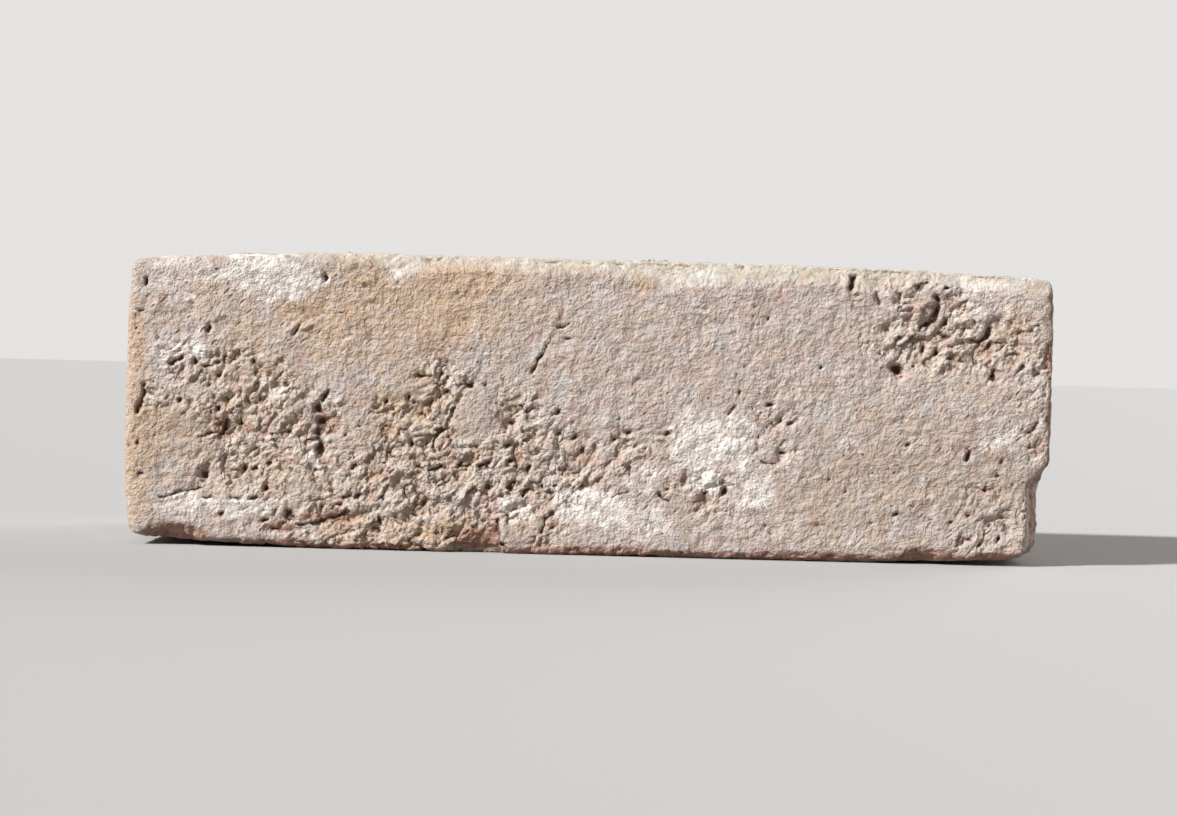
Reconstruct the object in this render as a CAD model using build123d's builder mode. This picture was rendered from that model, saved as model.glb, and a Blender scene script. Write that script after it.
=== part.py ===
from build123d import *

import os

# A soft-mud moulded facing brick of pale clay, fired in one piece and lying on its bed.
# Millimetres. The origin is the middle of the lower bed, and +Z points up.
# +X runs along the brick to the right head, and +Y runs from the stretcher face to the back.

# Overall sizes, between the fullest parts of opposite faces
brick_length = 210.0
brick_width = 100.0
brick_height = 67.0

# Beds and heads are flat in their middle, and fall away from there towards the corners
bed_flat_length = 92.0
head_flat_height = 26.0

# How far the bed and the head have fallen at each corner, and the radius of the corner
upper_left_bed_fall = 2.2
upper_left_head_fall = 1.0
upper_left_radius = 2.5
upper_right_bed_fall = 1.7
upper_right_head_fall = 0.6
upper_right_radius = 2.1
lower_left_bed_fall = 2.2
lower_left_head_fall = 1.5
lower_left_radius = 2.3
lower_right_bed_fall = 2.1
lower_right_head_fall = 1.3
lower_right_radius = 2.6

# Arrises rounded by moulding and handling, less than the corners that they run round
face_arris_radius = 1.7
back_arris_radius = 1.9

# The lower right corner of the stretcher face is broken off. The break slants out to the head.
break_length = 5.0
break_wall_height = 18.5
break_height = 24.0
break_depth = 21.0
break_toe_radius = 4.5

# The break's toe runs out this far under the bed, and the cutting shape stands this far outside
toe_overlap = 0.3
cut_clearance = 6.0

# Spalls along the lower arris of the stretcher face: how far the middle of each lies from the
# left head, its length along the arris, and its depth from the sharp edge
left_spall_place = 10.5
left_spall_length = 16.0
left_spall_depth = 2.6
middle_spall_place = 80.0
middle_spall_length = 12.5
middle_spall_depth = 2.8
right_spall_place = 181.5
right_spall_length = 10.0
right_spall_depth = 2.2

# Where the clay of the stretcher face tore and crumbled. First the broad shallow dishes that the
# skin came off, then the furrows and holes in and around them: the width and the depth of each,
# and its line, measured from the left head and up from the lower bed.
furrows = (
    (17.0, 0.4, ((27.0, 35.0), (26.0, 19.0))),
    (13.0, 0.4, ((46.0, 27.0), (47.0, 12.0))),
    (25.0, 0.5, ((67.0, 27.0), (74.0, 14.5))),
    (15.0, 0.4, ((91.0, 14.0), (103.0, 23.0))),
    (19.0, 0.5, ((180.0, 52.0), (195.0, 50.0))),
    (12.0, 0.4, ((196.0, 9.0), (199.0, 9.0))),
    (2.4, 1.0, ((22.6, 28.8), (22.4, 23.2), (20.8, 18.6), (16.6, 15.0))),
    (2.4, 1.1, ((31.2, 34.4), (30.4, 31.6))),
    (3.0, 0.8, ((26.0, 20.6), (31.4, 24.2))),
    (2.8, 1.6, ((44.0, 32.4), (45.0, 28.4), (43.8, 25.6), (44.6, 22.0))),
    (2.2, 1.0, ((45.8, 19.2), (48.4, 12.0))),
    (3.4, 1.3, ((37.8, 7.8), (39.6, 6.0))),
    (2.8, 1.5, ((71.4, 41.8), (72.6, 38.4), (73.0, 34.6))),
    (3.0, 1.3, ((74.6, 31.6), (70.6, 26.4))),
    (2.6, 1.1, ((60.6, 27.4), (58.8, 23.6), (59.0, 19.8))),
    (3.4, 1.0, ((71.2, 22.6), (66.2, 19.6))),
    (2.8, 1.2, ((78.0, 22.0), (84.0, 16.6), (82.2, 13.2))),
    (3.6, 1.1, ((69.6, 13.2), (67.6, 9.2))),
    (3.2, 1.1, ((58.6, 8.4), (58.0, 5.2))),
    (6.0, 1.1, ((76.4, 7.0), (81.8, 4.4))),
    (2.6, 1.0, ((88.4, 31.2), (86.6, 28.2))),
    (3.0, 0.9, ((98.4, 29.2), (98.6, 25.6))),
    (3.0, 1.0, ((97.2, 19.2), (93.8, 13.4))),
    (2.8, 0.9, ((102.2, 16.8), (106.0, 15.4))),
    (2.8, 1.1, ((130.6, 17.0), (133.0, 12.8))),
    (2.6, 1.0, ((149.2, 32.8), (147.8, 30.6))),
    (2.4, 1.1, ((149.6, 26.6), (148.6, 22.6))),
    (5.4, 1.7, ((181.9, 58.6), (180.9, 55.2))),
    (3.2, 1.6, ((174.3, 44.6), (175.2, 43.2))),
    (3.0, 1.1, ((173.6, 54.4), (171.0, 51.6))),
    (2.8, 1.1, ((171.4, 48.2), (177.0, 47.6))),
    (3.0, 1.2, ((184.4, 47.4), (187.6, 46.6))),
    (2.8, 1.0, ((191.8, 44.6), (193.6, 48.4))),
    (2.8, 0.9, ((196.6, 50.2), (201.6, 52.0))),
    (3.4, 1.0, ((198.8, 9.8), (201.0, 7.0))),
)

half_length = brick_length / 2
half_width = brick_width / 2
half_height = brick_height / 2
half_bed_flat = bed_flat_length / 2
half_head_flat = head_flat_height / 2

# Each corner's side along X and along Z, its two falls and its radius
corners = (
    (-1, 1, upper_left_bed_fall, upper_left_head_fall, upper_left_radius),
    (1, 1, upper_right_bed_fall, upper_right_head_fall, upper_right_radius),
    (-1, -1, lower_left_bed_fall, lower_left_head_fall, lower_left_radius),
    (1, -1, lower_right_bed_fall, lower_right_head_fall, lower_right_radius),
)

stretcher_face = Plane.XZ.offset(half_width)
stretcher_middle = Plane(origin=(0, -half_width, half_height), x_dir=(1, 0, 0), z_dir=(0, -1, 0))


def arc_radius(half_chord, fall):
    """Radius of an arc that starts level and has fallen this far after this half chord."""
    return (half_chord**2 + fall**2) / (2 * fall)


def lower_bed_height(x):
    """Height of the lower bed above its flat middle, this far from the middle of the brick."""
    bed_fall, head_fall = (lower_left_bed_fall, lower_left_head_fall)
    if x > 0:
        bed_fall, head_fall = (lower_right_bed_fall, lower_right_head_fall)
    past_flat = max(abs(x) - half_bed_flat, 0)
    radius = arc_radius(half_length - head_fall - half_bed_flat, bed_fall)
    return radius - (radius**2 - past_flat**2) ** 0.5


def furrow_cutter(width, depth, line):
    """A round-ended bar that cuts a furrow of this width and depth into the stretcher face."""
    radius = arc_radius(width / 2, depth)
    outside = -half_width - radius + depth
    places = [Vector(along - half_length, outside, up) for along, up in line]
    with BuildPart() as cutter:
        with Locations(*places):
            Sphere(radius)
        for place, next_place in zip(places, places[1:]):
            run = next_place - place
            with BuildSketch(Plane(origin=place, z_dir=run)):
                Circle(radius)
            extrude(amount=run.length)
    return cutter.part


furrow_cutters = [furrow_cutter(*furrow) for furrow in furrows]

with BuildPart() as clay_brick:
    # The outline of the stretcher face: four flats, with two arcs that meet at each corner
    with BuildSketch(stretcher_middle):
        with BuildLine():
            for side_x, side_z, bed_fall, head_fall, radius in corners:
                corner = (side_x * (half_length - head_fall), side_z * (half_height - bed_fall))
                bed_end = (side_x * half_bed_flat, side_z * half_height)
                head_end = (side_x * half_length, side_z * half_head_flat)
                TangentArc(bed_end, corner, tangent=(side_x, 0))
                TangentArc(head_end, corner, tangent=(0, side_z))
            for side in (-1, 1):
                Line((-half_bed_flat, side * half_height), (half_bed_flat, side * half_height))
                Line((side * half_length, -half_head_flat), (side * half_length, half_head_flat))
        make_face()
    extrude(amount=-brick_width)

    for side_x, side_z, bed_fall, head_fall, radius in corners:
        corner_x = side_x * (half_length - head_fall)
        corner_z = half_height + side_z * (half_height - bed_fall)
        edges_across = clay_brick.edges().filter_by(Axis.Y)
        fillet(edges_across.sort_by_distance((corner_x, 0, corner_z))[0], radius=radius)
    fillet(clay_brick.faces().sort_by(Axis.Y)[0].edges(), radius=face_arris_radius)
    fillet(clay_brick.faces().sort_by(Axis.Y)[-1].edges(), radius=back_arris_radius)

    # The broken corner: an upright wall with a slope above it and a round toe below it
    wall_x = half_length - break_length
    toe_x = wall_x - break_toe_radius
    toe_z = lower_bed_height(toe_x) - toe_overlap
    with BuildSketch(stretcher_face):
        with BuildLine():
            toe = TangentArc((wall_x, toe_z + break_toe_radius), (toe_x, toe_z), tangent=(0, -1))
            Polyline(
                toe @ 1,
                (toe_x, -cut_clearance),
                (half_length + cut_clearance, -cut_clearance),
                (half_length + cut_clearance, break_height),
                (half_length, break_height),
                (wall_x, break_wall_height),
                toe @ 0,
            )
        make_face()
    break_slant = Vector(break_length, break_depth)
    extrude(amount=break_slant.length, dir=break_slant, mode=Mode.SUBTRACT)

    # Spalls: shallow round bites out of the line where the stretcher face meets the lower bed
    for place, length, depth in (
        (left_spall_place, left_spall_length, left_spall_depth),
        (middle_spall_place, middle_spall_length, middle_spall_depth),
        (right_spall_place, right_spall_length, right_spall_depth),
    ):
        spall_x = place - half_length
        ball_radius = arc_radius(length / 2, depth)
        outside = (ball_radius - depth) / 2**0.5
        with Locations((spall_x, -half_width - outside, lower_bed_height(spall_x) - outside)):
            Sphere(ball_radius, mode=Mode.SUBTRACT)

    # The crumbled part of the stretcher face
    add(furrow_cutters, mode=Mode.SUBTRACT)

clay_brick.part.label = "clay_brick"

os.makedirs("parts", exist_ok=True)
export_step(clay_brick.part, "parts/clay_brick.step")
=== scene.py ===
import math

import bmesh
import bpy
from bpy.props import FloatProperty, FloatVectorProperty, IntProperty, PointerProperty
from mathutils import Matrix, Vector, kdtree
from mathutils.noise import cell, cell_vector, noise, noise_vector, seed_set, voronoi


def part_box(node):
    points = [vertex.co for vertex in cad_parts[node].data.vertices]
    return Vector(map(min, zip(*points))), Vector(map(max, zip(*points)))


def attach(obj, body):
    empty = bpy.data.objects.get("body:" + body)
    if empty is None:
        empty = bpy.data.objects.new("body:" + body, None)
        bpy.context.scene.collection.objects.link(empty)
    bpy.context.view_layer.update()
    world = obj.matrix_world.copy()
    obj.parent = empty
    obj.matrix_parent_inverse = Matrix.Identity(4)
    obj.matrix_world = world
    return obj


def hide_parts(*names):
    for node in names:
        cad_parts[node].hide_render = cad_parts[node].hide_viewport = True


bl_info = {
    "name": "Clay Brick",
    "version": (1, 0, 0),
    "blender": (4, 5, 0),
    "location": "View3D > Sidebar > Clay Brick",
    "description": "Builds a worn soft-mud facing brick and the stage that it stands on",
    "category": "Add Mesh",
}

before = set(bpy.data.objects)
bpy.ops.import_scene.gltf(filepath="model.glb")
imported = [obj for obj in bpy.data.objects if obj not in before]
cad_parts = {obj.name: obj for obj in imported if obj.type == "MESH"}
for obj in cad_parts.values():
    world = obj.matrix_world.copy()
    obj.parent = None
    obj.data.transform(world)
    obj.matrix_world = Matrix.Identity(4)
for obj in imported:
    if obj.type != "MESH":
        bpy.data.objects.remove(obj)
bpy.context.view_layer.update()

MM = 0.001

# How far behind the stretcher face its finer grid and its own relief reach, in millimetres
FINE_GRID_DEPTH = 3.5
FACE_RELIEF_START = 2.0
FACE_RELIEF_END = 4.5

# The inner part of the stretcher face, clear of its arrises: along and up, in millimetres
INNER_ALONG = (4.0, 203.5)
INNER_UP = (5.0, 61.5)

# Depth of the broad dishes in that part, and the place right of which its crumbs are larger
DISH_DEPTH = 0.5
RIGHT_CRUMBS = 160.0

# The seed of the noise that moves places about, which differs from run to run without one
NOISE_SEED = 3

# How far from an arris its wear reaches, where the face's own moves start and are full, and how
# square the normals of a flat face are
WEAR_REACH = 3
FACE_MOVES = (1.5, 4.0)
FLAT_NORMAL = 0.93

# Painted shade on the upper arris, which faces the key lamp: the heights that it sets in between, and where
# it fades behind
ARRIS_SHADE_UP = (62.5, 65.5)
ARRIS_SHADE_BEHIND = (2, 9)

# Crumbs are longer along this line, by this share
CRUMB_LEAN = Vector((1, 0, 1)).normalized()
CRUMB_STRETCH = 0.28

# What each vertex notes for the finish. The hollows, the crevices and the upper arris among them carry
# painted shade
SKIN_LAYERS = ("crumbled", "hollow_shade", "crevice_shade", "bloom", "stain", "bare", "sandy", "shaded_and_grimy", "nicked")

# Out of the stretcher face, and the box of the CAD brick
FACE_OUT = Vector((0, -1, 0))
BRICK_LOW, BRICK_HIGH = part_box("clay_brick")
BRICK_TOP = (BRICK_HIGH.z - BRICK_LOW.z) / MM

# The relief of the stretcher face. Places on it are in millimetres: along the brick from the
# left head, and up from the lower bed.

# Crumbled clay: middle along, middle up, reach along, reach up, strength
CRUMBLED = (
    (14, 42.5, 9, 5, 0.5), (13, 33, 10, 7, 0.35), (28, 38, 9, 8, 0.55), (27, 22, 13, 13, 0.6),
    (33, 32, 8, 9, 0.45), (45, 24, 7, 14, 0.55), (41, 6, 14, 6, 0.5), (62, 22, 10, 15, 0.85),
    (58, 7, 14, 9, 0.75), (71, 32, 8, 13, 1), (73, 14, 14, 14, 1), (83, 17, 9, 13, 0.9),
    (89, 29, 6, 9, 0.55), (96, 10, 9, 9, 0.6), (98, 23, 10, 9, 0.5), (108, 21, 12, 9, 0.4),
    (118, 23, 10, 7, 0.3), (131, 15, 8, 7, 0.45), (146, 29, 10, 9, 0.3), (172, 55, 7, 12, 0.52),
    (182, 53, 9, 11, 0.72), (192, 50, 9, 9, 0.58), (202, 50, 8, 10, 0.4), (207, 36, 4, 16, 0.35),
    (197, 9, 10, 9, 0.45), (178, 11, 9, 7, 0.18),
)

# Clay that stayed smooth inside or beside the crumbled parts
SMOOTH = (
    (12, 20, 9, 7, 0.55), (20, 8, 15, 4, 0.6), (80, 32, 5, 6, 0.8), (112, 9, 18, 5, 0.8),
    (53, 31, 5, 10, 0.7), (64, 36, 5, 3, 0.5), (67, 37, 4, 3, 0.5), (180.8, 57.6, 4, 4.4, 1),
    (170, 56, 4.5, 7, 0.7), (105, 27, 6, 3, 0.4),
)

# Open creases and cracks: half width, depth and the line of the crease
CREASES = (
    (0.5, 1.1, ((4.2, 36.4), (4.3, 34.4), (3.4, 32), (2.6, 30))), (0.2, 0.4, ((2, 52), (2.2, 47))),
    (0.28, 0.5, ((19, 37), (20, 33.5), (21.2, 31))), (0.35, 0.5, ((8.5, 10.6), (12, 11.8), (17.5, 13.1))),
    (0.45, 0.8, ((10.2, 41), (12.9, 42.6))), (0.4, 0.7, ((17.8, 40.6), (21.5, 41.8))),
    (0.45, 0.9, ((38.2, 48.4), (39.4, 50.8))), (0.22, 0.3, ((39.4, 50.8), (43.5, 52.9), (49, 53.7))),
    (0.45, 0.8, ((46, 35.8), (44.8, 33.6))), (0.45, 0.7, ((53.9, 14.2), (53.2, 12))),
    (0.35, 0.7, ((66.2, 40.2), (69, 39.8))), (0.4, 0.8, ((72.2, 19.4), (69.4, 18.4))),
    (0.5, 1, ((82.6, 20.6), (80.4, 19.8))), (0.25, 0.5, ((96.2, 49.6), (95.4, 47.8))),
    (0.34, 0.8, ((95, 46.8), (94.2, 45.2), (93.4, 44.4), (93, 42.6), (91.8, 41))),
    (0.2, 0.25, ((91, 39.6), (89.4, 38.4), (87.4, 37.5))), (0.4, 0.6, ((99.8, 52.4), (97.6, 51.4))),
    (0.45, 0.8, ((37.2, 8.4), (38.8, 6.8))),
    (0.38, 0.7, ((39.6, 5.2), (42.5, 5.6), (45.6, 6.5), (48.6, 7.4), (51.4, 8.9))),
    (0.4, 0.6, ((33.4, 3.7), (35.6, 4.7), (37.2, 5.5))),
    (0.65, 1.3, ((85, 7.4), (85.4, 4.2), (86.2, 1.2))), (0.36, 0.7, ((18.5, 11), (21.2, 10.8))),
    (0.36, 0.7, ((24.4, 11.2), (27, 10.9))), (0.38, 0.7, ((28.6, 10.9), (30.8, 11))),
    (0.4, 0.9, ((22.9, 28.6), (22.5, 25.6))), (0.32, 0.8, ((22, 25.4), (19.6, 25.6), (16.8, 24.6))),
    (0.45, 0.8, ((97.4, 9.6), (95.8, 8.2), (95.2, 5))), (0.35, 0.5, ((115.2, 14.8), (111, 13.6))),
    (0.45, 0.8, ((121.6, 14.4), (123.6, 12.8))), (0.45, 0.8, ((138.4, 35), (136.8, 33))),
    (0.32, 0.5, ((148.6, 22.2), (146, 22), (143.6, 22.8))), (0.6, 1.3, ((164.2, 64.2), (163.7, 61.8))),
    (0.5, 0.8, ((169.2, 61.6), (170.3, 58.6))), (0.45, 0.8, ((175.6, 51.6), (173.6, 49.6))),
    (0.42, 0.9, ((183, 60.8), (183.9, 59), (183.2, 57.2), (181.6, 55.8))),
    (0.42, 0.9, ((181.2, 54.6), (179.4, 53.2))), (0.5, 0.9, ((181, 63.4), (178.8, 62.2))),
    (0.5, 0.8, ((195.6, 53.6), (193.8, 51.2))), (0.45, 0.8, ((203.4, 45.6), (201.2, 43.4))),
    (0.5, 1, ((191.4, 26.8), (191.2, 24.2))), (0.25, 0.5, ((205.2, 28), (204.9, 24))),
    (0.45, 0.8, ((207.2, 32.8), (204.8, 30.4))),
)

# Pits: along, up, radius and depth
PITS = (
    (3, 53.4, 0.8, 0.9), (4.2, 59.7, 0.9, 1), (3, 23, 0.8, 0.9), (4, 16, 0.7, 0.5), (2.8, 44.2, 0.6, 0.6),
    (7.2, 46.8, 0.7, 0.7), (18.6, 49.2, 0.9, 0.9), (15.6, 42, 0.8, 0.8), (12.4, 32.8, 0.9, 1),
    (21.2, 31.2, 0.9, 1), (29, 42, 1, 1), (21.2, 38.6, 0.8, 0.8), (26.4, 27, 1.1, 1), (27.4, 18, 1, 1),
    (33, 19, 0.9, 0.8), (37.4, 26, 0.9, 0.9), (32.2, 6, 0.8, 0.9), (22.6, 7.2, 0.8, 0.8),
    (44.9, 61.4, 0.9, 1.1), (32.2, 13.6, 0.9, 0.9), (30, 11, 0.9, 0.8), (18.4, 16.2, 1.4, 0.8),
    (64.2, 34.8, 0.8, 0.9), (59.2, 33.8, 0.8, 0.8), (53.4, 28, 0.7, 0.7), (50.4, 26, 0.7, 0.7),
    (65.2, 24.4, 1, 1), (63.4, 24, 0.8, 0.9), (78.5, 38, 0.8, 1), (81.2, 38, 0.9, 1),
    (85.6, 33.6, 0.7, 0.8), (86.8, 24.6, 0.9, 1), (87.8, 21, 0.8, 0.9), (98.3, 32.4, 0.9, 1.1),
    (102, 26.6, 0.8, 0.8), (103.8, 24, 1.1, 1.1), (92, 19.8, 0.8, 0.8), (97.8, 6.2, 0.9, 0.8),
    (97, 14, 0.9, 0.8), (114.2, 28.2, 1, 1), (111.2, 26.6, 0.7, 0.7), (123.2, 28.2, 0.9, 0.9),
    (123.2, 15.4, 0.7, 0.7), (134.9, 19.6, 0.8, 0.9), (136.2, 15.4, 1.1, 1.2), (139.2, 38, 0.6, 0.6),
    (146.2, 35.2, 0.9, 0.9), (150.8, 31.2, 0.9, 1), (143.6, 28, 0.8, 0.8), (145.8, 7.8, 0.7, 0.6),
    (147.1, 6, 0.6, 0.6), (145.2, 55, 0.5, 0.6), (140, 50.2, 0.5, 0.5), (142, 57.5, 0.5, 0.5),
    (127.6, 52, 0.6, 0.5), (100, 49, 0.8, 0.7), (112, 31, 0.5, 0.5), (163.6, 15.8, 0.6, 0.5),
    (169.8, 20.6, 0.6, 0.5), (168.6, 15.8, 0.5, 0.5), (160, 18.6, 0.5, 0.5), (164.4, 18.6, 0.5, 0.5),
    (157.4, 44.2, 0.6, 0.5), (180.5, 48.8, 1.1, 1.2), (183.2, 48.2, 0.9, 0.9), (195.3, 50, 0.9, 1.1),
    (202.4, 53.2, 0.7, 0.7), (196.2, 43.6, 0.9, 0.7), (185.6, 62.6, 0.7, 0.8), (189.9, 59.8, 0.5, 0.5),
    (191.8, 55.4, 0.6, 0.5), (178.2, 45, 0.6, 0.6), (170.8, 39.2, 0.5, 0.5), (177.6, 26.8, 0.8, 0.8),
    (196.2, 26.6, 0.7, 0.7), (199, 24, 0.8, 0.8), (198.2, 20.4, 0.7, 0.7), (193.8, 19.6, 0.6, 0.6),
    (201.4, 18.2, 0.7, 0.7), (198.8, 6.2, 0.8, 0.8), (192, 6, 0.9, 0.8), (194.2, 4.2, 0.9, 0.8),
    (191.6, 11.2, 0.6, 0.5), (175.2, 11.2, 0.8, 0.7), (169.9, 9, 0.7, 0.6), (174.5, 9.2, 0.6, 0.5),
    (183, 10, 0.5, 0.4), (187.8, 9.8, 0.5, 0.4), (44.8, 28.2, 1.9, 0.5), (43.8, 25.7, 1.4, 0.5),
    (44.3, 22.4, 1.5, 0.5), (31, 33.6, 1.5, 0.6), (72, 40.6, 0.9, 0.3), (73.2, 36.4, 1.2, 0.4),
    (74.4, 32.2, 1.2, 0.3), (71.4, 27.6, 1, 0.3), (59.4, 25, 1.1, 0.3), (67, 20, 1, 0.3),
    (81, 19.4, 1.1, 0.3), (83, 15, 1.1, 0.3), (68.4, 11, 1.3, 0.3), (58.2, 6.8, 1, 0.3),
    (87.6, 29.8, 1, 0.3), (98.4, 27.4, 0.9, 0.3), (95, 15.6, 1, 0.3), (104, 16, 0.8, 0.3),
    (131.8, 15, 1.1, 0.3), (148.5, 31.6, 0.9, 0.3), (149, 24.4, 1.1, 0.3), (174.8, 43.9, 1.8, 0.8),
    (182.9, 56.4, 1, 0.6), (172.2, 53, 0.9, 0.3), (186, 47, 1.2, 0.3), (192.4, 45.8, 0.9, 0.3),
    (199.6, 8.6, 1, 0.3), (178, 50, 0.9, 0.5), (46.8, 15, 0.9, 0.3), (37.5, 7.7, 1.5, 0.8),
)

# Places where the clay stands proud: along, up, radius and height
LUMPS = (
    (9.5, 43.6, 1.6, 0.5), (14, 44.6, 1.8, 0.6), (17.2, 43.8, 1.5, 0.5), (20.4, 39.6, 1.5, 0.5),
    (41.2, 50.4, 1.6, 0.5), (48.8, 33.8, 1.6, 0.5), (97.4, 54.2, 1.3, 0.5), (103.8, 17.4, 1.3, 0.7),
    (132.8, 17.8, 2, 0.8), (133.2, 15.4, 1.3, 0.5), (151, 23, 1.4, 0.3), (190.4, 56, 1.9, 0.6),
    (172.6, 46, 1.4, 0.5), (178.4, 14, 1.1, 0.5), (175, 12, 1, 0.4), (172.6, 60.4, 1.8, 0.5),
    (180.4, 57, 3, 2), (181.6, 59.2, 2.2, 1.9), (187.6, 52.4, 2.4, 0.7), (193.6, 57, 2.6, 0.6),
    (175.2, 57.4, 2.2, 0.5), (186, 48.4, 1.3, 0.4), (45.6, 25, 1.4, 0.3), (69, 41.2, 2, 0.5),
    (86.4, 6, 1.8, 0.3),
)

# Folds, where the clay steps down: how far it drops, how wide the low ground is, and the line
# of the step, with the low ground on its right
FOLDS = (
    (0.45, 5, ((14, 13.2), (19, 15.8), (21.3, 19), (22, 24), (22.5, 29.5))),
    (1.2, 8, ((84, 10.6), (85.2, 7.2), (85.4, 3.6), (86.9, -1))),
    (0.6, 3, ((34, 4.8), (39, 5.4), (45, 6.4), (51, 8.4), (56.5, 9.6))),
    (0.25, 4, ((167.2, 50.5), (167.4, 56), (168, 61.5))),
)

# The line along the upper arris above which the face leans back, and how far back it gets by the
# height of the upper bed. That is less than the arris's own rounding.
UPPER_BAND = (
    (0, 64), (12, 65), (30, 65.6), (45, 65.8), (55, 65.2), (61, 61.4), (66, 63), (80, 64.2), (95, 63.6),
    (108, 63.6), (117, 62), (121, 59.4), (126, 60.2), (132, 61.8), (145, 62.4), (156, 62.6), (163, 62.8),
    (166, 60.8), (172, 62.4), (186, 62.6), (197, 61.8), (210, 60.6),
)
UPPER_LEAN = 1.6

# Patches of the finish, each with middle along, middle up, reach along, reach up and strength.
# Lime bloom
BLOOMS = (
    (30, 62, 7, 4.5, 1), (29, 63, 9, 4, 0.9), (37, 61, 5, 4, 1), (33, 61, 9, 4.5, 0.8),
    (12, 61, 8, 5.5, 0.5), (38, 57.5, 2.6, 2.4, 0.5), (43, 61, 2, 2, 0.7), (13, 44, 8, 3, 0.6),
    (9, 36, 6, 5, 0.35), (20, 35, 7, 4, 0.3), (34, 36, 4, 3, 0.45), (14, 9.5, 8, 2.5, 0.75),
    (29, 9, 8, 2.2, 0.7), (24, 22, 3, 3, 0.35), (43.5, 20, 3, 4, 0.5), (61, 62.5, 3, 2.5, 0.5),
    (51, 46, 5, 6, 0.25), (88.5, 11, 4, 3.5, 0.6), (107, 11, 9, 4, 1), (103, 10, 4, 3, 0.6),
    (116, 8, 8, 4.5, 0.55), (118, 18, 5, 4, 0.5), (129, 25, 6, 8, 0.8), (137, 27, 7, 5.5, 0.95),
    (133, 18, 4, 4, 0.75), (143, 16, 6, 6, 0.75), (151.2, 22.4, 2, 1.3, 1), (165, 28, 5, 4, 0.35),
    (199, 28, 6, 4, 0.55), (127, 63.5, 8, 2.5, 0.3), (195, 63.5, 6, 2.5, 0.5), (193, 58.5, 9, 4, 0.4),
    (174, 45, 2, 2.5, 0.4), (207, 42, 3, 4, 0.4),
)

# Ochre stain
STAINS = (
    (76, 62, 12, 5, 0.85), (73, 58, 9, 7, 0.95), (68, 53, 11, 7, 0.7), (86, 56, 12, 8, 0.45),
    (60, 52, 22, 12, 0.45), (52, 60, 11, 7, 0.6), (46, 50, 9, 7, 0.5), (39, 53.5, 5, 2.6, 1),
    (20, 57, 9, 6, 0.35), (20, 51, 12, 4, 0.25), (117.5, 62.5, 4, 2.5, 0.8), (95, 63.5, 12, 2.5, 0.35),
    (2.5, 20, 4, 17, 0.85), (2, 42, 3, 14, 0.8), (6, 26, 4, 8, 0.5), (60, 30, 10, 6, 0.35),
    (58, 4, 16, 4, 0.6), (75, 4, 10, 4, 0.65), (93, 6, 7, 5, 0.4), (70, 20, 14, 14, 0.25),
    (201, 55, 4, 5, 0.5), (156, 10, 9, 6, 0.3), (205, 50, 4, 5, 0.25), (38, 14, 9, 8, 0.25),
    (30, 44, 16, 9, 0.3), (52, 16, 8, 9, 0.25), (16, 28, 9, 8, 0.25), (64, 36, 8, 7, 0.5),
    (24, 27, 22, 16, 0.3), (180, 21, 24, 12, 0.3), (188, 50, 16, 10, 0.2),
)

# Duller patches
DULL = (
    (180, 20, 28, 14, 0.45), (7, 25, 6, 12, 0.4), (80, 33, 7, 7, 0.6), (122, 62, 7, 3, 0.5),
    (16, 28, 8, 9, 0.25), (180.8, 57.4, 3.2, 4, 1),
)

# Patches with short nicks in the skin, dented in the bump and darkened with painted shade
NICKED = (
    (21, 52, 20, 9, 0.9), (22, 33, 22, 16, 0.9), (48, 44, 12, 10, 0.5), (84, 43, 10, 8, 0.4),
    (112, 38, 16, 10, 0.45), (122, 17, 22, 10, 0.6), (150, 30, 14, 9, 0.4), (190, 30, 22, 14, 0.5),
    (185, 10, 22, 9, 0.5), (205, 38, 7, 16, 0.8),
)

# Bare redder clay where the sanded skin has gone: middle along, behind, up, the three reaches
# and the strength
BARE_CLAY = (
    (12, 1.2, 2.5, 8.5, 3.6, 3, 0.95), (33, 0.6, 0.5, 16, 2, 1.6, 0.9), (46, 0, 7.2, 8, 2, 1.5, 0.75),
    (36, 0, 4.8, 4, 1.5, 1.5, 0.75), (81, 0.6, 2.4, 6, 3, 3.6, 0.85), (22, 0, 27, 2, 1.5, 3, 0.7),
    (28, 0, 27, 2, 1.5, 1.2, 0.6), (60, 0.6, 0.1, 16, 1.8, 1.8, 0.95),
    (110, 0.6, 0.1, 34, 1.8, 2.2, 0.95), (155, 0.6, 0.3, 26, 1.8, 2.2, 0.9),
    (182, 0.6, 1.6, 9, 2.6, 2.4, 0.8), (198, 0.6, 1.6, 9, 1.8, 1.7, 0.9),
    (209.6, 1.6, 42, 1.5, 2.6, 24, 0.65), (209, 8, 14, 3.6, 12, 12, 0.85),
    (181.3, 0, 57.4, 2.8, 3, 3.8, 0.5), (40, 0, 53.6, 2.8, 1.5, 1.4, 0.5), (84, 0, 5.5, 2, 2.5, 3.2, 0.6),
    (187, 0, 46.8, 1.8, 1.5, 1.2, 0.5), (23, 0, 24, 2.5, 2, 6, 0.35), (61, 0, 28, 4, 2, 2.5, 0.35),
)


def length_setting(name, description, millimetres):
    """A length that a user may change, with its default in millimetres."""
    return FloatProperty(name=name, description=description, default=millimetres * MM, min=0,
                         subtype="DISTANCE", unit="LENGTH")


def angle_setting(name, description, degrees):
    """An angle that a user may change, with its default in degrees."""
    return FloatProperty(name=name, description=description, default=math.radians(degrees),
                         subtype="ANGLE", unit="ROTATION")


def colour_setting(name, description, default):
    """A colour that a user may change."""
    return FloatVectorProperty(name=name, description=description, default=default, size=3,
                               min=0, max=1, subtype="COLOR")


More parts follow.
